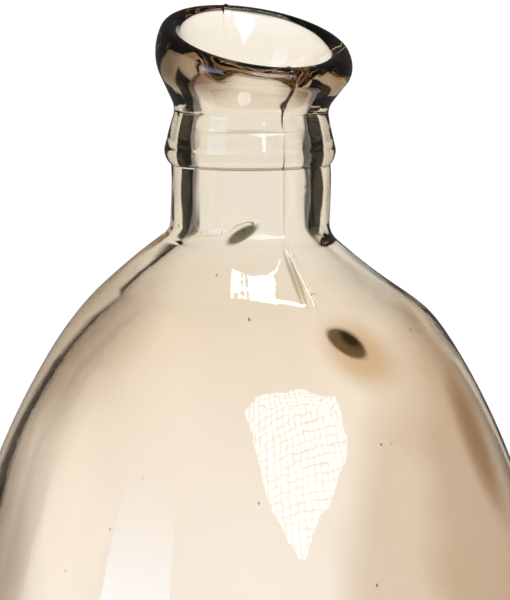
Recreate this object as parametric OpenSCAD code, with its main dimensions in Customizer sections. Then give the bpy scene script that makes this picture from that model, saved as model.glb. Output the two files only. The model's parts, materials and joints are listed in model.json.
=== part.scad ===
// Glass bottle vase with a slanted, flared lip.
// The vessel is one piece of glass, drawn as the zones that a glassmaker names: lip,
// collar, neck, shoulder, body and base. Neighbouring zones meet face to face.
// Z is up, -Y is the front, and the origin is the centre of the foot ring.

/* [Neck and collar] */
// Outside diameter of the neck
neck_d = 73; // [70:0.5:75]
// Diameter of the straight bore through neck and collar
bore_d = 54; // [50:0.5:57]
// Height of the plain neck, from its root to the collar
neck_h = 26.5; // [22:0.5:32]
// Outside diameter of the collar
collar_d = 78.5; // [77:0.5:80]
// Slope of the collar's undercut, in degrees above level
undercut = 45; // [40:1:55]

/* [Lip] */
// Outside diameter of the lip
lip_d = 90; // [87:0.5:93]
// Slope of the mouth, in degrees
lip_slant = 18; // [0:1:20]
// Direction of the mouth's low side, in degrees from the front towards +X
slant_direction = 28; // [0:1:45]
// Distance that the rim leans towards its low side
lip_lean = 3; // [0:0.5:4]

/* [Shoulder and body] */
// Widest diameter of the body
body_d = 286; // [280:1:290]
// Height of the body's widest level
widest_z = 126; // [122:1:132]
// Radius of the long curve above the widest level
body_r = 344; // [335:1:350]
// Radius of the curve below the widest level
belly_r = 205; // [195:1:215]
// Slope where the body runs into the shoulder, in degrees below level
body_slope = 59; // [58:0.5:61]
// Slope of the shoulder, in degrees below level
shoulder_slope = 39; // [37:0.5:41]
// Radius of the curve between body and shoulder
shoulder_r = 120; // [110:1:125]
// Radius at the root of the neck
root_r = 9; // [6:1:14]

/* [Base] */
// Radius of the heel, where the body turns under
heel_r = 20; // [16:1:24]
// Width of the flat foot ring
foot_w = 8; // [6:1:12]
// Slope at which the push-up leaves the foot ring, in degrees
punt_slope = 28; // [15:1:32]
// Radius of the bend between the foot ring and the push-up
punt_bend_r = 14; // [10:1:20]

/* [Glass thickness] */
// Wall of the shoulder
shoulder_t = 7.5; // [6.5:0.5:8.5]
// Wall of the body
body_t = 6; // [5:0.5:7]
// Wall of the heel
heel_t = 8; // [7:0.5:9]
// Thickness of the base
base_t = 9; // [8:0.5:10]

/* [Hidden] */

smoke_brown = [0.52, 0.41, 0.31];
smoke_grey = [0.70, 0.67, 0.57];
smoke_peach = [0.93, 0.83, 0.72];

$fn = 96;
arc_error = 0.1; // distance by which an arc's chords may miss it
arc_step = 8;    // largest angle between the points of an arc

// Collar and waist
collar_turn = 25;
collar_top_r = 14;
waist_r = 27;

// Lip
flare_r = 10;
flare_slope = 60;
lip_side_r = 18;
crest_r = 4.6;
crest_start = 115;
crest_turn = 130;
mouth_steps = 7;
mouth_power = 1.6;
slant_power = 1.6;
lip_sides = 72;

// A path is a list of [r, z, heading, wall], from the middle of the base, up the outside.
// Headings are degrees above +r, and the glass lies to the left of the path.
function last(path) = path[len(path) - 1];

// Arc of radius r that turns left by turn degrees, or right where turn is negative.
function arc(path, r, turn, wall) =
    let (p = last(path),
         side = turn < 0 ? -r : r,
         n = ceil(abs(turn) / min(arc_step, 2 * acos(1 - arc_error / r))))
    concat(path, [for (i = [1:n])
        let (h = p[2] + turn * i / n)
        [p[0] + side * (sin(h) - sin(p[2])),
         p[1] - side * (cos(h) - cos(p[2])),
         h,
         p[3] + (wall - p[3]) * i / n]]);

// Straight run of the given length.
function run(path, length, wall) =
    let (p = last(path))
    concat(path, [[p[0] + length * cos(p[2]), p[1] + length * sin(p[2]), p[2], wall]]);

function outside(path) = [for (p = path) [p[0], p[1]]];
function inside(path) = [for (i = [len(path) - 1:-1:0])
    let (p = path[i])
    [max(0, p[0] - p[3] * sin(p[2])), p[1] + p[3] * cos(p[2])]];

// Base: push-up, bend, flat foot ring and heel. The heel is tangent to the belly curve.
belly_turn = asin((widest_z - heel_r) / (belly_r - heel_r));
foot_out = body_d / 2 - belly_r + (belly_r - heel_r) * cos(belly_turn);
foot_in = foot_out - foot_w;
punt_r = foot_in / sin(punt_slope) - punt_bend_r;
punt_h = foot_in * tan(punt_slope / 2);
base_path = arc(run(arc(arc([[0, punt_h, 0, base_t]],
    punt_r, -punt_slope, base_t),
    punt_bend_r, punt_slope, base_t),
    foot_w, base_t),
    heel_r, 90 - belly_turn, heel_t);

// Body: the belly curve, then the long curve above the widest level.
body_path = arc(arc([last(base_path)], belly_r, belly_turn, body_t), body_r, 90 - body_slope, body_t);

// Shoulder: the curve, a straight slope and the root of the neck.
neck_t = (neck_d - bore_d) / 2;
shoulder_curve = arc([last(body_path)], shoulder_r, body_slope - shoulder_slope, shoulder_t);
root_w = root_r * (1 - sin(shoulder_slope));
slope_w = last(shoulder_curve)[0] - neck_d / 2 - root_w;
shoulder_path = arc(run(shoulder_curve, slope_w / cos(shoulder_slope), shoulder_t),
    root_r, shoulder_slope - 90, neck_t);

// Collar: undercut, bead and the hollow up to the waist below the lip.
neck_z = last(shoulder_path)[1];
collar_z = neck_z + neck_h;
collar_low_r = (collar_d - neck_d) / 2 / (1 - sin(undercut));
collar_path = arc(arc(arc([[neck_d / 2, collar_z, undercut, 0]],
    collar_low_r, 90 - undercut, 0),
    collar_top_r, collar_turn, 0),
    waist_r, -collar_turn, 0);
waist = last(collar_path);

// Lip: flare, side and crest outside, then a curve from the crest down to the bore.
flare = arc([waist], flare_r, flare_slope - 90, 0);
flare_w = lip_d / 2 - last(flare)[0] - lip_side_r * (1 - sin(flare_slope));
lip_path = arc(arc(run(flare, flare_w / cos(flare_slope), 0),
    lip_side_r, crest_start - flare_slope, 0),
    crest_r, crest_turn, 0);
mouth_edge = last(lip_path);
mouth = [for (i = [1:mouth_steps])
    let (s = 1 - i / mouth_steps)
    [bore_d / 2 + (mouth_edge[0] - bore_d / 2) * pow(s, mouth_power),
     waist[1] + (mouth_edge[1] - waist[1]) * s]];
lip_outline = concat(outside(lip_path), mouth);
lip_h = max([for (p = lip_path) p[1]]) - waist[1];
low_side = slant_direction - 90;

// A point of the lip's outline at one azimuth, lowered and leaned towards the low side.
// Neither shift reaches the waist, so the lip meets the collar on a level face.
function slanted(p, azimuth) =
    let (rise = (p[1] - waist[1]) / lip_h,
         drop = pow(rise, slant_power) * tan(lip_slant) * p[0] * cos(azimuth - low_side),
         lean = lip_lean * pow(rise, 2))
    [p[0] * cos(azimuth) + lean * cos(low_side),
     p[0] * sin(azimuth) + lean * sin(low_side),
     p[1] - drop];

module revolved(outline, shade) {
    color(shade) rotate_extrude() polygon(outline);
}

module lip() {
    n = len(lip_outline);
    points = [for (a = [0:lip_sides - 1]) for (p = lip_outline) slanted(p, 360 * a / lip_sides)];
    faces = [for (a = [0:lip_sides - 1]) for (i = [0:n - 1])
        let (b = (a + 1) % lip_sides, j = (i + 1) % n)
        each [[a * n + i, b * n + i, b * n + j], [a * n + i, b * n + j, a * n + j]]];
    color(smoke_brown) polyhedron(points, faces);
}

module collar() {
    bore = [[bore_d / 2, waist[1]], [bore_d / 2, collar_z]];
    revolved(concat(outside(collar_path), bore), smoke_grey);
}

module neck() {
    revolved([[bore_d / 2, neck_z], [neck_d / 2, neck_z], [neck_d / 2, collar_z], [bore_d / 2, collar_z]],
        smoke_grey);
}

module shoulder() {
    revolved(concat(outside(shoulder_path), inside(shoulder_path)), smoke_grey);
}

module body() {
    revolved(concat(outside(body_path), inside(body_path)), smoke_peach);
}

module base() {
    revolved(concat(outside(base_path), inside(base_path)), smoke_peach);
}

lip();
collar();
neck();
shoulder();
body();
base();
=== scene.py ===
"""A smoke-tinted glass bottle vase, blown in a two-part mould, on a pale studio floor.

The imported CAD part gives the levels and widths. The glass itself is one closed mesh with an
outer and an inner skin, uneven walls, two mould seams and a few small bubbles.
"""
import json
import math

import bmesh
import bpy
import numpy as np
from mathutils import Matrix, Vector


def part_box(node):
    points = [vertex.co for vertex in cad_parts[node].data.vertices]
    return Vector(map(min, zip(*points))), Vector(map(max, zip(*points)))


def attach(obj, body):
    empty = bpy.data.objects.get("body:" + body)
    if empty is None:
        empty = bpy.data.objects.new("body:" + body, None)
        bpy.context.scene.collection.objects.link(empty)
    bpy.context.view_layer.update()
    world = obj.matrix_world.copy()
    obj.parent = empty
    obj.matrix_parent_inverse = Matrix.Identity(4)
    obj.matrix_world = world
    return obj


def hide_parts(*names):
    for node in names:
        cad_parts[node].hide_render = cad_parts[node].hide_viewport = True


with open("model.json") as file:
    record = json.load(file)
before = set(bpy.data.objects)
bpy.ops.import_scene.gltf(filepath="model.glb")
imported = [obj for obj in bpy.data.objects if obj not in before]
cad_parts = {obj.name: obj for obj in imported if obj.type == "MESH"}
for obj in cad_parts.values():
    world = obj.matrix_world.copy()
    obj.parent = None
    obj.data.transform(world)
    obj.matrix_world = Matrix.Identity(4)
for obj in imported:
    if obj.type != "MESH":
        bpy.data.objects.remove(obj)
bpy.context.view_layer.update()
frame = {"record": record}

# ---------------------------------------------------------------- levels from the CAD part
MM = 0.001
body_low, body_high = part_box("body")
neck_low, neck_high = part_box("neck")
collar_low, collar_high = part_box("collar")
mounts = {m["name"]: m for m in frame["record"]["mounts"]}

BODY_R = (body_high.x - body_low.x) / 2
NECK_R = (neck_high.x - neck_low.x) / 2
COLLAR_R = (collar_high.x - collar_low.x) / 2
BORE_R = mounts["neck_bore"]["dims"]["r_mm"] * MM
COLLAR_Z = neck_high.z
WAIST_Z = collar_high.z

# ---------------------------------------------------------------- shape of the glass
# Arcs of the outline: radii in metres, slopes in degrees. They are the CAD part's own, but the collar's
# upper slope, the mouth's curve and the onset of the slant are closer to the real glass here.
PUNT_SLOPE = 28
PUNT_BEND_R = 0.014
FOOT_W = 0.008
HEEL_R = 0.020
BELLY_R = 0.205
LONG_R = 0.344
BODY_SLOPE = 59
SHOULDER_R = 0.120
SHOULDER_SLOPE = 39
ROOT_R = 0.009
UNDERCUT = 45
COLLAR_TOP_R = 0.005
COLLAR_SLOPE = 13.7
WAIST_R = 0.008
FLARE_R = 0.010
FLARE_SLOPE = 60
LIP_SIDE_R = 0.018
LIP_D = 0.090
CREST_R = 0.0046
CREST_START = 115
CREST_TURN = 130
MOUTH_POWER = 2.6
SLANT_POWER = 1.2
LIP_SLANT = math.radians(18)
LIP_LEAN = 0.003
LOW_SIDE = math.radians(28 - 90)  # 28 degrees from -Y towards +X

BASE_T = 0.009
HEEL_T = 0.008
BODY_T = 0.006
SHOULDER_T = 0.0075
NECK_T = NECK_R - BORE_R
NECK_MIDDLE_Z = (neck_low.z + neck_high.z) / 2
BORE_BULGE = 0.45  # share of the collar's swelling that the bore follows
BULGE_SOFT = 0.0016
WIDEST_Z = body_high.z - LONG_R * math.cos(math.radians(BODY_SLOPE))

SEAMS = (math.radians(-66), math.radians(110))
SEAM_W = 0.0009
SEAM_H = 0.00045
# Raised height as a share of SEAM_H: everywhere, and what the neck and the lip add.
FRONT_SEAM = (0.08, 0.85, 0.8)
BACK_SEAM = (0.03, 0.0, 0.9)
# How far the neck and the lip stand to the left, and the level from which the neck does.
NECK_OFFSET = 0.0011
NECK_OFFSET_Z = 0.350
LIP_OFFSET = 0.0007


# ---------------------------------------------------------------- camera
AIM = Vector((0.0005, 0.0, 0.327))
CAMERA_DISTANCE = 1.80
CAMERA_LENS = 235
CAMERA_SENSOR = 36
CAMERA_ELEVATION = math.radians(6.5)


def make_camera():
    data = bpy.data.cameras.new("camera")
    data.lens = CAMERA_LENS
    data.sensor_width = CAMERA_SENSOR
    data.clip_end = 30
    camera = bpy.data.objects.new("camera", data)
    bpy.context.collection.objects.link(camera)
    back = Vector((0, -math.cos(CAMERA_ELEVATION), math.sin(CAMERA_ELEVATION)))
    camera.location = AIM + back * CAMERA_DISTANCE
    camera.rotation_euler = (-back).to_track_quat("-Z", "Y").to_euler()
    bpy.context.scene.camera = camera


# ---------------------------------------------------------------- outline
class Outline:
    """Points (r, z, heading, wall) that run up the outside. The glass lies on the left."""

    def __init__(self, r, z, heading, wall):
        self.points = [(r, z, math.radians(heading), wall)]

    def arc(self, radius, turn, wall, step):
        """Turns left by turn degrees, or right where turn is negative."""
        r, z, start, old = self.points[-1]
        turn = math.radians(turn)
        side = math.copysign(radius, turn)
        count = max(2, math.ceil(abs(turn) * radius / step))
        for i in range(1, count + 1):
            part = i / count
            h = start + turn * part
            self.points.append((r + side * (math.sin(h) - math.sin(start)),
                                z - side * (math.cos(h) - math.cos(start)),
                                h, old + (wall - old) * part))

    def run(self, length, wall, step):
        r, z, h, old = self.points[-1]
        count = max(1, math.ceil(length / step))
        for i in range(1, count + 1):
            part = i / count
            self.points.append((r + length * part * math.cos(h),
                                z + length * part * math.sin(h),
                                h, old + (wall - old) * part))

    def turn(self, degrees):
        r, z, h, wall = self.points[-1]
        self.points[-1] = (r, z, h + math.radians(degrees), wall)

    @property
    def end(self):
        return self.points[-1]


def vessel_outline():
    """From the middle of the base to the waist below the lip."""
    belly_turn = math.degrees(math.asin((WIDEST_Z - HEEL_R) / (BELLY_R - HEEL_R)))
    foot_out = BODY_R - BELLY_R + (BELLY_R - HEEL_R) * math.cos(math.radians(belly_turn))
    foot_in = foot_out - FOOT_W
    slope = math.radians(PUNT_SLOPE)
    o = Outline(0, foot_in * math.tan(slope / 2), 0, BASE_T)
    o.arc(foot_in / math.sin(slope) - PUNT_BEND_R, -PUNT_SLOPE, BASE_T, 0.004)
    o.arc(PUNT_BEND_R, PUNT_SLOPE, BASE_T, 0.0015)
    o.run(FOOT_W, BASE_T, 0.002)
    o.arc(HEEL_R, 90 - belly_turn, HEEL_T, 0.0015)
    o.arc(BELLY_R, belly_turn, BODY_T, 0.0032)
    o.arc(LONG_R, 90 - BODY_SLOPE, BODY_T, 0.0030)
    o.arc(SHOULDER_R, BODY_SLOPE - SHOULDER_SLOPE, SHOULDER_T, 0.002)
    root = ROOT_R * (1 - math.sin(math.radians(SHOULDER_SLOPE)))
    slope_w = o.end[0] - NECK_R - root
    o.run(slope_w / math.cos(math.radians(SHOULDER_SLOPE)), SHOULDER_T, 0.0015)
    o.arc(ROOT_R, SHOULDER_SLOPE - 90, NECK_T, 0.0008)
    o.run(COLLAR_Z - o.end[1], NECK_T, 0.0008)
    o.turn(UNDERCUT - 90)
    low_r = (COLLAR_R - NECK_R) / (1 - math.sin(math.radians(UNDERCUT)))
    o.arc(low_r, 90 - UNDERCUT, NECK_T, 0.0006)
    rounded = (COLLAR_TOP_R + WAIST_R) * math.sin(math.radians(COLLAR_SLOPE))
    slope_h = WAIST_Z - o.end[1] - rounded
    o.arc(COLLAR_TOP_R, COLLAR_SLOPE, NECK_T, 0.0004)
    o.run(slope_h / math.cos(math.radians(COLLAR_SLOPE)), NECK_T, 0.0006)
    o.arc(WAIST_R, -COLLAR_SLOPE, NECK_T, 0.0004)
    return o


def lip_outline(waist):
    """From the waist over the crest to the inner edge of the mouth."""
    o = Outline(waist[0], waist[1], 90, 0)
    o.arc(FLARE_R, FLARE_SLOPE - 90, 0, 0.0009)
    side_w = LIP_SIDE_R * (1 - math.sin(math.radians(FLARE_SLOPE)))
    flare_w = LIP_D / 2 - o.end[0] - side_w
    o.run(flare_w / math.cos(math.radians(FLARE_SLOPE)), 0, 0.0009)
    o.arc(LIP_SIDE_R, CREST_START - FLARE_SLOPE, 0, 0.0009)
    o.arc(CREST_R, CREST_TURN, 0, 0.0005)
    return o


def mouth_curve(edge, step=0.001):
    """From the inner edge of the mouth down to the bore at the waist."""
    drop = edge[1] - WAIST_Z
    count = math.ceil(drop / step)
    for i in range(1, count + 1):
        s = 1 - i / count
        yield BORE_R + (edge[0] - BORE_R) * s ** MOUTH_POWER, WAIST_Z + drop * s


def inner_skin(outline):
    """From the waist down the bore, which bulges a little in the collar, to the middle of the base."""
    for r, z, h, wall in outline.points[::-1][1:]:
        if z > NECK_MIDDLE_Z:
            out = r - NECK_R
            yield BORE_R + BORE_BULGE * (out + math.hypot(out, BULGE_SOFT) - BULGE_SOFT) / 2, z
        else:
            yield max(r - wall * math.sin(h), 0), z + wall * math.cos(h)


# ---------------------------------------------------------------- unevenness of the glass
# Swellings of a skin: height in metres, azimuth and its half width in radians, level and its half width.
LEFT_SIDE = math.pi
FULL_LEFT = (-0.0023, 0.345, 0.022)
KNUCKLE = (0.0010, 0.0, 0.5, 0.322, 0.010)
COLLAR_LINE = (-0.0004, -1.5, 0.9, 0.4065, 0.0007)
PARTING_LINE = (0.00025, -1.1, 0.8, 0.3805, 0.0006)
THICK_LEFT = (-0.0022, LEFT_SIDE, 0.9, 0.310, 0.035)
THIN_RIGHT = (0.0032, 0.0, 0.8, 0.275, 0.065)
THROAT = (-0.0025, 0.412, 0.007)
LIP_LUMPS = ((-0.0030, -2.1, 0.20, 0.430, 0.006), (-0.0034, -0.97, 0.20, 0.424, 0.007))
BLOB = (-0.0016, -1.09, 0.05, 0.3165, 0.0045)
DRIP = (-0.0042, -1.75, 0.16, 0.3608, 0.0020)
DRIP_RISE = 0.016  # metres of height for each radian to the right
# Levels where something starts or ends, and how gradually.
OUTER_BODY_TOP = (0.345, 0.006)
INNER_BODY_TOP = (0.335, 0.008)
RIPPLE_TOP = (0.436, 0.002)
NECK_SEAM_FOOT = (0.331, 0.002)
LIP_SEAM_FOOT = (0.409, 0.002)
FOOT_CALM_H = 0.03  # the outer skin's waves grow from nothing over this height
# Waves: height, seed of the random draw, and rise of one wave.
OUTER_SWAY = (0.0006, 3, 0.16)
INNER_SWAY = (0.0009, 8, 0.12)
BORE_RIPPLE = (0.00025, 21, 0.025)


def bump(x, centre, width):
    return np.exp(-((x - centre) / width) ** 2)


def swelling(theta, z, row):
    height, azimuth, half_width, level, half_height = row
    return height * bump(theta, azimuth, half_width) * bump(z, level, half_height)


def below(z, level, softness):
    """1 well below a level, and 0 well above it."""
    return 1 / (1 + np.exp((z - level) / softness))


def above(z, level, softness):
    return below(level, z, softness)


def waves(theta, z, seed, scale):
    """A smooth random field round the bottle, between about -1 and 1."""
    rng = np.random.default_rng(seed)
    total = np.zeros(np.broadcast(theta, z).shape)
    for _ in range(14):
        turns = rng.integers(1, 7)
        rise = rng.uniform(-1, 1) / scale
        phase = rng.uniform(0, 2 * math.pi)
        total += np.cos(turns * theta + 2 * math.pi * rise * z + phase) / turns ** 0.5
    return total / 4


def lopsided(theta, z):
    """The shoulder is fuller on the left, and has a knuckle on the right. Both skins share this."""
    height, level, half_height = FULL_LEFT
    return height * np.cos(theta) * bump(z, level, half_height) + swelling(theta, z, KNUCKLE)


def outer_shift(theta, z):
    """How far the outer skin stands off the outline."""
    height, seed, rise = OUTER_SWAY
    standing = 1 - np.exp(-(z / FOOT_CALM_H) ** 2)
    sway = height * waves(theta, z, seed, rise) * below(z, *OUTER_BODY_TOP) * standing
    lines = swelling(theta, z, COLLAR_LINE) + swelling(theta, z, PARTING_LINE)
    return lopsided(theta, z) + sway + lines


def inner_shift(theta, z):
    """How far the inner skin moves out, so that the wall gets thinner."""
    body = below(z, *INNER_BODY_TOP)
    height, seed, rise = INNER_SWAY
    shift = height * waves(theta, z, seed, rise) * body
    height, seed, rise = BORE_RIPPLE
    shift = shift + height * waves(3 * theta, z, seed, rise) * (1 - body) * below(z, *RIPPLE_TOP)
    height, level, half_height = THROAT
    shift = shift + height * bump(z, level, half_height)
    shift = shift + swelling(np.abs(theta), z, THICK_LEFT)
    shift = shift + swelling(theta, z - DRIP_RISE * (theta - DRIP[1]), DRIP)
    for row in (THIN_RIGHT, *LIP_LUMPS, BLOB):
        shift = shift + swelling(theta, z, row)
    return lopsided(theta, z) + shift


# ---------------------------------------------------------------- mesh of the vessel
BESIDE_SEAM = np.array([0.2, 0.45, 0.75, 1.1, 1.7, 2.6]) * MM
SEAM_OFFSETS = np.concatenate((-BESIDE_SEAM[::-1], [0], BESIDE_SEAM))
PLAIN_COLUMNS = 60
LEAST_COLUMN_R = 0.012
CALM_R = 0.05  # the unevenness fades out inside this radius, at the middle of the base
# Bubbles: how many, their radii, their greatest stretch, and the levels that hold them.
SEED_COUNT = 30
SEED_R = (0.0002, 0.0005)
SEED_STRETCH = 2.2
SEED_LOW = 0.10
SEED_HIGH = 0.365


def column_angles(r):
    """Azimuths of the columns on a ring of radius r, close together at the mould seams."""
    r = max(r, LEAST_COLUMN_R)
    angles = []
    for seam, after in (SEAMS, (SEAMS[1], SEAMS[0] + 2 * math.pi)):
        start = seam + SEAM_OFFSETS[-1] / r
        stop = after + SEAM_OFFSETS[0] / r
        angles.extend(seam + SEAM_OFFSETS / r)
        angles.extend(start + (stop - start) * np.arange(1, PLAIN_COLUMNS + 1) / (PLAIN_COLUMNS + 1))
    return np.array(angles)


def wrapped(theta):
    return (theta + math.pi) % (2 * math.pi) - math.pi


def seam_height(theta, r, z):
    """Height of the two raised seams: bold on the neck and lip, and faint down the body."""
    on_neck = above(z, *NECK_SEAM_FOOT)
    on_lip = above(z, *LIP_SEAM_FOOT)
    total = 0
    for seam, (plain, neck, lip) in zip(SEAMS, (FRONT_SEAM, BACK_SEAM)):
        height = SEAM_H * (plain + neck * on_neck + lip * on_lip)
        total = total + height * np.exp(-(wrapped(theta - seam) * r / SEAM_W) ** 2)
    return total


def slanted(x, y, z, crest_z):
    """Sets the neck and lip a little to the left, then lowers and leans the lip towards its low side."""
    x = x - NECK_OFFSET * above(z, NECK_OFFSET_Z, 0.006) * below(z, WAIST_Z, 0.003)
    x = x - LIP_OFFSET * above(z, COLLAR_Z, 0.002)
    rise = np.clip((z - WAIST_Z) / (crest_z - WAIST_Z), 0, None)
    toward = x * math.cos(LOW_SIDE) + y * math.sin(LOW_SIDE)
    drop = rise ** SLANT_POWER * math.tan(LIP_SLANT) * toward
    lean = LIP_LEAN * rise ** 2
    return x + lean * math.cos(LOW_SIDE), y + lean * math.sin(LOW_SIDE), z - drop


def ring(r, z, heading, outside, crest_z):
    theta = column_angles(r)
    around = wrapped(theta)
    if outside:
        shift = outer_shift(around, z) + seam_height(theta, r, z)
        r_here = r + shift * math.sin(heading)
        z_here = z - shift * math.cos(heading)
    else:
        r_here = r + inner_shift(around, z)
        z_here = z + 0 * theta
    fade = min(1, r / CALM_R)
    r_here = r + (r_here - r) * fade
    x, y = r_here * np.cos(theta), r_here * np.sin(theta)
    return np.stack(slanted(x, y, z_here, crest_z), axis=1)


def vessel_rings():
    """Rings from the base up the outside and down the inside, pairs of them across the wall,
    and the levels of the two middles of the base."""
    outline = vessel_outline()
    lip = lip_outline(outline.end)
    crest_z = max(p[1] for p in lip.points)
    rings = [ring(r, z, h, True, crest_z) for r, z, h, _ in outline.points[1:]]
    rings += [ring(r, z, h, True, crest_z) for r, z, h, _ in lip.points[1:]]
    rings += [ring(r, z, 0, False, crest_z) for r, z in mouth_curve(lip.end)]
    inner = list(inner_skin(outline))
    rings += [ring(r, z, 0, False, crest_z) for r, z in inner[:-1]]
    walls = [pair for pair, point in zip(zip(rings, rings[::-1]), outline.points[1:])
             if SEED_LOW < point[1] < SEED_HIGH]
    return rings, walls, outline.points[0][1], inner[-1][1]


def add_seeds(mesh, walls):
    """Small air bubbles halfway through the wall. Their faces look inwards, away from the glass."""
    rng = np.random.default_rng(12)
    bm = bmesh.new()
    bm.from_mesh(mesh)
    for _ in range(SEED_COUNT):
        outer, inner = walls[rng.integers(len(walls))]
        column = rng.integers(len(outer))
        middle = Matrix.Translation((outer[column] + inner[column]) / 2)
        stretch = Matrix.Diagonal((1, 1, rng.uniform(1, SEED_STRETCH), 1))
        ball = bmesh.ops.create_icosphere(bm, subdivisions=2, radius=rng.uniform(*SEED_R),
                                          matrix=middle @ stretch)
        faces = list({face for vert in ball["verts"] for face in vert.link_faces})
        bmesh.ops.reverse_faces(bm, faces=faces)
    bm.to_mesh(mesh)
    bm.free()


def make_vessel():
    rings, walls, low_middle, high_middle = vessel_rings()
    columns = len(rings[0])
    points = np.concatenate(rings).tolist()
    faces = []
    for i in range(len(rings) - 1):
        a, b = i * columns, (i + 1) * columns
        for j in range(columns):
            k = (j + 1) % columns
            faces.append((a + j, a + k, b + k, b + j))
    bottom = len(points)
    points += [(0, 0, low_middle), (0, 0, high_middle)]
    last = (len(rings) - 1) * columns
    for j in range(columns):
        k = (j + 1) % columns
        faces.append((bottom, k, j))
        faces.append((bottom + 1, last + j, last + k))
    mesh = bpy.data.meshes.new("glass_vessel")
    mesh.from_pydata(points, [], faces)
    add_seeds(mesh, walls)
    mesh.polygons.foreach_set("use_smooth", [True] * len(mesh.polygons))
    mesh.update()
    vessel = bpy.data.objects.new("glass_vessel", mesh)
    bpy.context.collection.objects.link(vessel)
    return vessel


# ---------------------------------------------------------------- glass
# Tint of each face of the glass, by height: peach body, grey-green neck, brown lip.
TINT_TOP = 0.5
PEACH = (1.0, 0.972, 0.945)
TAN = (0.985, 0.93, 0.86)
SHOULDER_TAN = (0.975, 0.945, 0.895)
GREY = (1.0, 1.0, 0.99)
CREAM = (0.99, 0.97, 0.945)
TINTS = ((0.0, PEACH), (0.230, PEACH), (0.315, TAN), (0.335, SHOULDER_TAN), (0.362, GREY),
         (0.408, GREY), (0.425, CREAM))
# Patches of painted shade, which are ellipsoids: middle, half sizes, tilt in degrees, colour that they
# multiply by, softness.
# Painted shade: darker patches on the body's right side, on the left shoulder and side, and on the shoulder
# right of the neck.
PAINTED_SIDE_SHADE = (
    ((0.158, -0.080, 0.215), (0.115, 0.240, 0.200), 0, (0.79, 0.72, 0.64), 0.22),
    ((-0.140, -0.050, 0.330), (0.090, 0.200, 0.060), 0, (0.78, 0.74, 0.72), 0.4),
    ((-0.155, -0.050, 0.220), (0.050, 0.200, 0.140), 0, (0.80, 0.75, 0.71), 0.5),
    ((0.062, -0.040, 0.342), (0.028, 0.060, 0.020), 35, (0.84, 0.84, 0.84), 1.0),
)
# Painted shade: a brown streak down the front right of the body.
PAINTED_SHADE_STREAK = ((0.0965, -0.070, 0.276), (0.0055, 0.040, 0.042), -21, (0.55, 0.43, 0.32), 0.8)
# Painted shade: a near-black core on the thickened blob in the wall, and a brown ring of shade round it.
PAINTED_BLOB_SHADE = ((0.041, -0.080, 0.3165), (0.0115, 0.020, 0.0046), 33, (0.05, 0.038, 0.016), 0.3)
PAINTED_SHADE_ROUND_BLOB = ((0.047, -0.083, 0.3125), (0.019, 0.030, 0.012), 40, (0.72, 0.58, 0.42), 1.0)
# Painted shade: a near-black mark on the drip at the neck's root.
PAINTED_DRIP_SHADE = ((-0.0052, -0.038, 0.3608), (0.0080, 0.012, 0.0026), -30, (0.05, 0.045, 0.02), 0.5)
# Painted shade in thin lines: along the neck's front seam, in the shoulder groove, in the crease under the
# collar and at the collar's top.
PAINTED_SHADE_LINES = (
    ((0.0136, -0.036, 0.382), (0.0006, 0.012, 0.026), 0, (0.70, 0.68, 0.62), 0.8),
    ((0.0180, -0.050, 0.341), (0.0009, 0.022, 0.014), -21, (0.42, 0.37, 0.30), 0.8),
    ((0.0, -0.037, COLLAR_Z + 0.0004), (0.044, 0.030, 0.0007), 0, (0.36, 0.28, 0.20), 0.7),
    ((-0.003, -0.037, 0.4065), (0.019, 0.014, 0.0004), 0, (0.55, 0.50, 0.42), 0.8),
)
# Painted shade on the lip: a dark patch at its left end, brown-dark patches left and right on its front,
# and a dark band along the back of the crest.
PAINTED_LIP_SHADE = (
    ((-0.042, -0.010, 0.441), (0.009, 0.030, 0.015), 0, (0.35, 0.33, 0.31), 0.6),
    ((-0.034, -0.034, 0.440), (0.026, 0.026, 0.016), 12, (0.30, 0.22, 0.16), 0.7),
    ((0.030, -0.036, 0.430), (0.018, 0.026, 0.014), 15, (0.38, 0.29, 0.21), 0.7),
    ((0.002, 0.042, 0.462), (0.060, 0.014, 0.0065), 9, (0.08, 0.065, 0.04), 0.5),
)
# All the painted shade, in the order it is multiplied into the glass colour.
PAINTED_SHADES = (*PAINTED_SIDE_SHADE, PAINTED_SHADE_STREAK, PAINTED_BLOB_SHADE, PAINTED_SHADE_ROUND_BLOB, PAINTED_DRIP_SHADE, *PAINTED_SHADE_LINES, *PAINTED_LIP_SHADE)
PAINTED_SHADE_NOISE_SCALE = 22
PAINTED_SHADE_WANDER = 0.22
RIPPLE_SCALE = 150
RIPPLE_DEPTH = 0.00002
GLASS_IOR = 1.5
ABSORB_COLOUR = (0.55, 0.35, 0.0, 1)
ABSORB_DENSITY = 26


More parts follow.
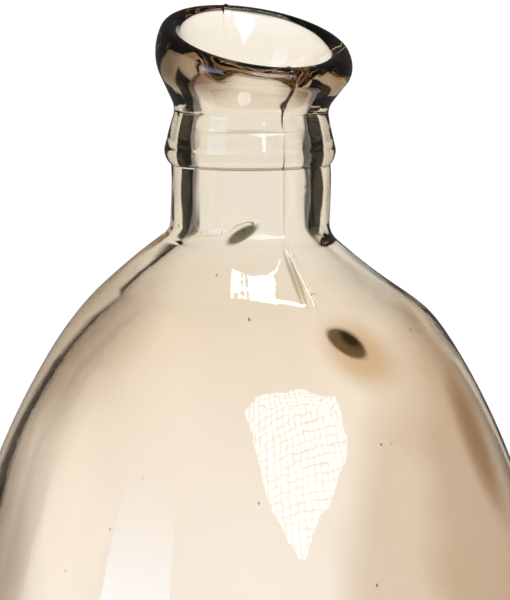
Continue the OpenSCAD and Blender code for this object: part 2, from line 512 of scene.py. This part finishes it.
class Maths:
    """Builds math nodes from plain numbers and sockets."""

    def __init__(self, tree):
        self.tree = tree

    def node(self, kind, **settings):
        node = self.tree.nodes.new("ShaderNode" + kind)
        for name, value in settings.items():
            setattr(node, name, value)
        return node

    def link(self, value, socket):
        if isinstance(value, bpy.types.NodeSocket):
            self.tree.links.new(value, socket)
        else:
            socket.default_value = value

    def __call__(self, operation, *values):
        node = self.node("Math", operation=operation)
        for socket, value in zip(node.inputs, values):
            self.link(value, socket)
        return node.outputs[0]

    def vector(self, operation, *values):
        node = self.node("VectorMath", operation=operation)
        for socket, value in zip(node.inputs, values):
            self.link(value, socket)
        return node.outputs["Value" if operation == "LENGTH" else "Vector"]

    def step(self, value, low, high):
        """0 below low, 1 above high, smooth between; low may be the larger."""
        node = self.node("MapRange", interpolation_type="SMOOTHSTEP")
        rising = low < high
        self.link(min(low, high), node.inputs["From Min"])
        self.link(max(low, high), node.inputs["From Max"])
        self.link(0 if rising else 1, node.inputs["To Min"])
        self.link(1 if rising else 0, node.inputs["To Max"])
        self.link(value, node.inputs["Value"])
        return node.outputs["Result"]

    def multiply(self, colour, factor, amount):
        """The colour times a constant colour, where amount is 1."""
        node = self.node("Mix", data_type="RGBA", blend_type="MULTIPLY")
        colours = [socket for socket in node.inputs if socket.type == "RGBA"]
        self.link(amount, node.inputs[0])
        self.link(colour, colours[0])
        self.link((*factor, 1), colours[1])
        return next(socket for socket in node.outputs if socket.type == "RGBA")


def height_tint(m, where):
    height = m.node("SeparateXYZ")
    m.link(where, height.inputs[0])
    tint = m.node("ValToRGB")
    m.link(m("DIVIDE", height.outputs["Z"], TINT_TOP), tint.inputs["Fac"])
    ramp = tint.color_ramp
    ramp.elements.remove(ramp.elements[0])
    for z, colour in TINTS:
        stop = ramp.elements.new(z / TINT_TOP)
        stop.color = (*colour, 1)
    ramp.elements.remove(ramp.elements[-1])
    return tint.outputs["Color"]


def with_painted_shade(m, where, colour):
    """Multiplies the colour by each patch of painted shade, whose edge wanders with a slow noise."""
    noise = m.node("TexNoise")
    m.link(where, noise.inputs["Vector"])
    m.link(PAINTED_SHADE_NOISE_SCALE, noise.inputs["Scale"])
    m.link(1, noise.inputs["Detail"])
    wander = m("MULTIPLY", m("SUBTRACT", noise.outputs["Fac"], 0.5), PAINTED_SHADE_WANDER)
    for middle, sizes, tilt, factor, softness in PAINTED_SHADES:
        turned = m.node("VectorRotate", rotation_type="Y_AXIS")
        m.link(where, turned.inputs["Vector"])
        m.link(middle, turned.inputs["Center"])
        m.link(math.radians(-tilt), turned.inputs["Angle"])
        away = m.vector("DIVIDE", m.vector("SUBTRACT", turned.outputs[0], middle), sizes)
        distance = m("ADD", m.vector("LENGTH", away), wander)
        colour = m.multiply(colour, factor, m.step(distance, 1 + softness / 2, 1 - softness / 2))
    return colour


def glass_material():
    material = bpy.data.materials.new("smoke_glass")
    material.use_nodes = True
    nodes = material.node_tree.nodes
    m = Maths(material.node_tree)
    shader = nodes["Principled BSDF"]
    shader.inputs["Transmission Weight"].default_value = 1
    shader.inputs["Roughness"].default_value = 0
    shader.inputs["IOR"].default_value = GLASS_IOR
    where = m.node("TexCoord").outputs["Object"]
    # Base colour: the tint by height, darkened by the painted shade patches and lines.
    m.link(with_painted_shade(m, where, height_tint(m, where)), shader.inputs["Base Color"])
    noise = m.node("TexNoise")
    m.link(where, noise.inputs["Vector"])
    m.link(RIPPLE_SCALE, noise.inputs["Scale"])
    m.link(1, noise.inputs["Detail"])
    ripple = m.node("Bump")
    m.link(RIPPLE_DEPTH, ripple.inputs["Distance"])
    m.link(noise.outputs["Fac"], ripple.inputs["Height"])
    m.link(ripple.outputs["Normal"], shader.inputs["Normal"])
    absorb = m.node("VolumeAbsorption")
    absorb.inputs["Color"].default_value = ABSORB_COLOUR
    absorb.inputs["Density"].default_value = ABSORB_DENSITY
    m.link(absorb.outputs[0], nodes["Material Output"].inputs["Volume"])
    return material


# ---------------------------------------------------------------- studio
BACKDROP = 1.2
STUDIO_DARK = 0.02
REFLECTED_ROOM = 0.10
PLAIN = 1.05
# Backdrops in degrees: middle from +Y towards +X, half width, lower and upper edge.
BACKDROPS = ((0, 25, -38, 30), (-90, 22, -18, 28), (-45, 28, -38, -14), (135, 28, -26, -8))
BACKDROP_EDGE = 4
WHITE = (1, 1, 1, 1)
# A net in front of the window lamp, one unit to a cell, and how far its lines wander.
NET = {"Color1": WHITE, "Color2": WHITE, "Mortar": (0.13, 0.13, 0.13, 1), "Scale": 1,
       "Mortar Size": 0.11, "Mortar Smooth": 0.3, "Brick Width": 1, "Row Height": 1}
NET_NOISE = 0.45
NET_WANDER = (0.8, 0.8, 0)
CELL_W = 3.3
CELL_H = 1.2
DAYLIGHT = (0.72, 0.86, 1.0)
SKY = (0.35, 0.62, 1.0)
LAMP_CENTRE = Vector((0, -0.08, 0.28))
LAMP_DISTANCE = 4.0
LAMP_PIECES = 9
LAMP_SEED = 5
# Corners of the lamps: degrees from -Y towards +X, and degrees above the horizon.
WINDOW = [(-6, 49), (5, 52), (30, 51), (53, 45), (50, 37), (38, 32), (27, 28), (21, 23),
          (15, 26), (6, 34), (0, 44)]
STRIP = [(-63, 33), (-37, 37), (-34, 16), (-34, 8), (-62, 8)]
OVERHEAD = [(230, 82.5), (204, 84.5), (168, 84.7), (139, 83), (124, 80), (117, 70), (122, 68), (129, 76),
            (137, 79), (167, 82.3), (209, 81.8), (222, 80.6)]
WINDOW_STRENGTH = 9.5
STRIP_STRENGTH = 9
STRIP_FADE = (30, -4)  # cells where the strip is dark and where it is bright
OVERHEAD_STRENGTH = 13


def make_world():
    """Plain white to the camera and on the floor; backdrops with dark gaps through the glass."""
    world = bpy.data.worlds.new("studio")
    bpy.context.scene.world = world
    world.use_nodes = True
    world.node_tree.nodes.clear()
    m = Maths(world.node_tree)
    parts = m.node("SeparateXYZ")
    m.link(m.node("TexCoord").outputs["Generated"], parts.inputs[0])
    azimuth = m("ARCTAN2", parts.outputs["X"], parts.outputs["Y"])
    elevation = m("ARCSINE", parts.outputs["Z"])
    edge = math.radians(BACKDROP_EDGE)
    lit = STUDIO_DARK
    for degrees in BACKDROPS:
        middle, half, low, high = [math.radians(d) for d in degrees]
        beside = m("COSINE", m("SUBTRACT", azimuth, middle))
        panel = m.step(beside, math.cos(half + edge), math.cos(half - edge))
        panel = m("MULTIPLY", panel, m.step(elevation, low - edge, low + edge))
        panel = m("MULTIPLY", panel, m.step(elevation, high + edge, high - edge))
        lit = m("MAXIMUM", lit, m("MULTIPLY", panel, BACKDROP))
    ray = m.node("LightPath")
    through = ray.outputs["Is Transmission Ray"]
    plain = m("MAXIMUM", ray.outputs["Is Camera Ray"], ray.outputs["Is Diffuse Ray"])
    unlit = m("SUBTRACT", 1, plain)
    seen = m("ADD", m("MULTIPLY", lit, through),
             m("MULTIPLY", m("SUBTRACT", 1, through), REFLECTED_ROOM))
    background = m.node("Background")
    m.link(WHITE, background.inputs["Color"])
    strength = m("ADD", m("MULTIPLY", plain, PLAIN), m("MULTIPLY", unlit, seen))
    m.link(strength, background.inputs["Strength"])
    m.link(background.outputs[0], m.node("OutputWorld").inputs["Surface"])


def lamp_material(name, strength, colour, net, fade):
    """A softbox's glow; net adds a grid of thin darker lines, and fade dims its upper end."""
    material = bpy.data.materials.new(name)
    material.use_nodes = True
    nodes = material.node_tree.nodes
    nodes.clear()
    m = Maths(material.node_tree)
    cells = m.node("TexCoord").outputs["UV"]
    glow = m.node("Emission")
    m.link((*colour, 1), glow.inputs["Color"])
    m.link(strength, glow.inputs["Strength"])
    if net:
        noise = m.node("TexNoise")
        m.link(cells, noise.inputs["Vector"])
        m.link(NET_NOISE, noise.inputs["Scale"])
        centred = m.vector("SUBTRACT", noise.outputs["Color"], (0.5, 0.5, 0.5))
        wander = m.vector("MULTIPLY", centred, NET_WANDER)
        grid = m.node("TexBrick", offset=0)
        m.link(m.vector("ADD", cells, wander), grid.inputs["Vector"])
        for setting, value in NET.items():
            m.link(value, grid.inputs[setting])
        m.link(m("MULTIPLY", grid.outputs["Color"], strength), glow.inputs["Strength"])
    if fade:
        parts = m.node("SeparateXYZ")
        m.link(cells, parts.inputs[0])
        m.link(m("MULTIPLY", m.step(parts.outputs["Y"], *fade), strength), glow.inputs["Strength"])
    m.link(glow.outputs[0], m.node("OutputMaterial").inputs["Surface"])
    return material


def ragged(corners, rough):
    """The corners joined by uneven edges."""
    rng = np.random.default_rng(LAMP_SEED)
    for (a0, e0), (a1, e1) in zip(corners, corners[1:] + corners[:1]):
        for i in range(LAMP_PIECES):
            part = i / LAMP_PIECES
            off = rng.uniform(-rough, rough, 2)
            yield a0 + (a1 - a0) * part + off[0], e0 + (e1 - e0) * part + off[1] / 2


def make_lamp(name, corners, strength, colour, net=False, fade=None, rough=0):
    """A softbox given by its corners' directions from the bottle: degrees from -Y towards +X,
    and degrees above the horizon. Only reflections show it."""
    points, cells = [], []
    for azimuth, elevation in ragged(corners, rough):
        a, e = math.radians(azimuth), math.radians(elevation)
        away = Vector((math.sin(a) * math.cos(e), -math.cos(a) * math.cos(e), math.sin(e)))
        points.append(LAMP_CENTRE + away * LAMP_DISTANCE)
        cells.append((azimuth / CELL_W, elevation / CELL_H))
    mesh = bpy.data.meshes.new(name)
    mesh.from_pydata(points, [], [tuple(range(len(points)))])
    layer = mesh.uv_layers.new(name="UVMap")
    for i, cell in enumerate(cells):
        layer.data[i].uv = cell
    mesh.materials.append(lamp_material(name, strength, colour, net, fade))
    lamp = bpy.data.objects.new(name, mesh)
    bpy.context.collection.objects.link(lamp)
    lamp.visible_camera = False
    lamp.visible_diffuse = False
    lamp.visible_transmission = False
    lamp.visible_shadow = False


def make_lamps():
    make_lamp("window_softbox", WINDOW, WINDOW_STRENGTH, DAYLIGHT, net=True, rough=0.6)
    make_lamp("strip_softbox", STRIP, STRIP_STRENGTH, SKY, fade=STRIP_FADE)
    make_lamp("overhead_softbox", OVERHEAD, OVERHEAD_STRENGTH, DAYLIGHT, rough=0.5)


FLOOR_R = 0.45
FLOOR_SIDES = 96
FLOOR_COLOUR = (0.9, 0.9, 0.9, 1)
FLOOR_GLOW = 0.25


def make_floor():
    mesh = bpy.data.meshes.new("floor")
    angles = [2 * math.pi * i / FLOOR_SIDES for i in range(FLOOR_SIDES)]
    rim = [(FLOOR_R * math.cos(angle), FLOOR_R * math.sin(angle), 0) for angle in angles]
    mesh.from_pydata(rim, [], [tuple(range(FLOOR_SIDES))])
    floor = bpy.data.objects.new("floor", mesh)
    bpy.context.collection.objects.link(floor)
    material = bpy.data.materials.new("floor_white")
    material.use_nodes = True
    shader = material.node_tree.nodes["Principled BSDF"]
    shader.inputs["Base Color"].default_value = FLOOR_COLOUR
    shader.inputs["Roughness"].default_value = 0.9
    shader.inputs["Emission Color"].default_value = WHITE
    shader.inputs["Emission Strength"].default_value = FLOOR_GLOW
    mesh.materials.append(material)


make_camera()
vessel = make_vessel()
vessel.data.materials.append(glass_material())
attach(vessel, "root")
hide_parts("lip", "collar", "neck", "shoulder", "body", "base")
make_world()
make_floor()
make_lamps()

scene = bpy.context.scene
scene.view_settings.view_transform = "Standard"
scene.cycles.max_bounces = 24
scene.cycles.transmission_bounces = 24
scene.cycles.glossy_bounces = 12
scene.cycles.caustics_refractive = True
scene.cycles.use_denoising = True
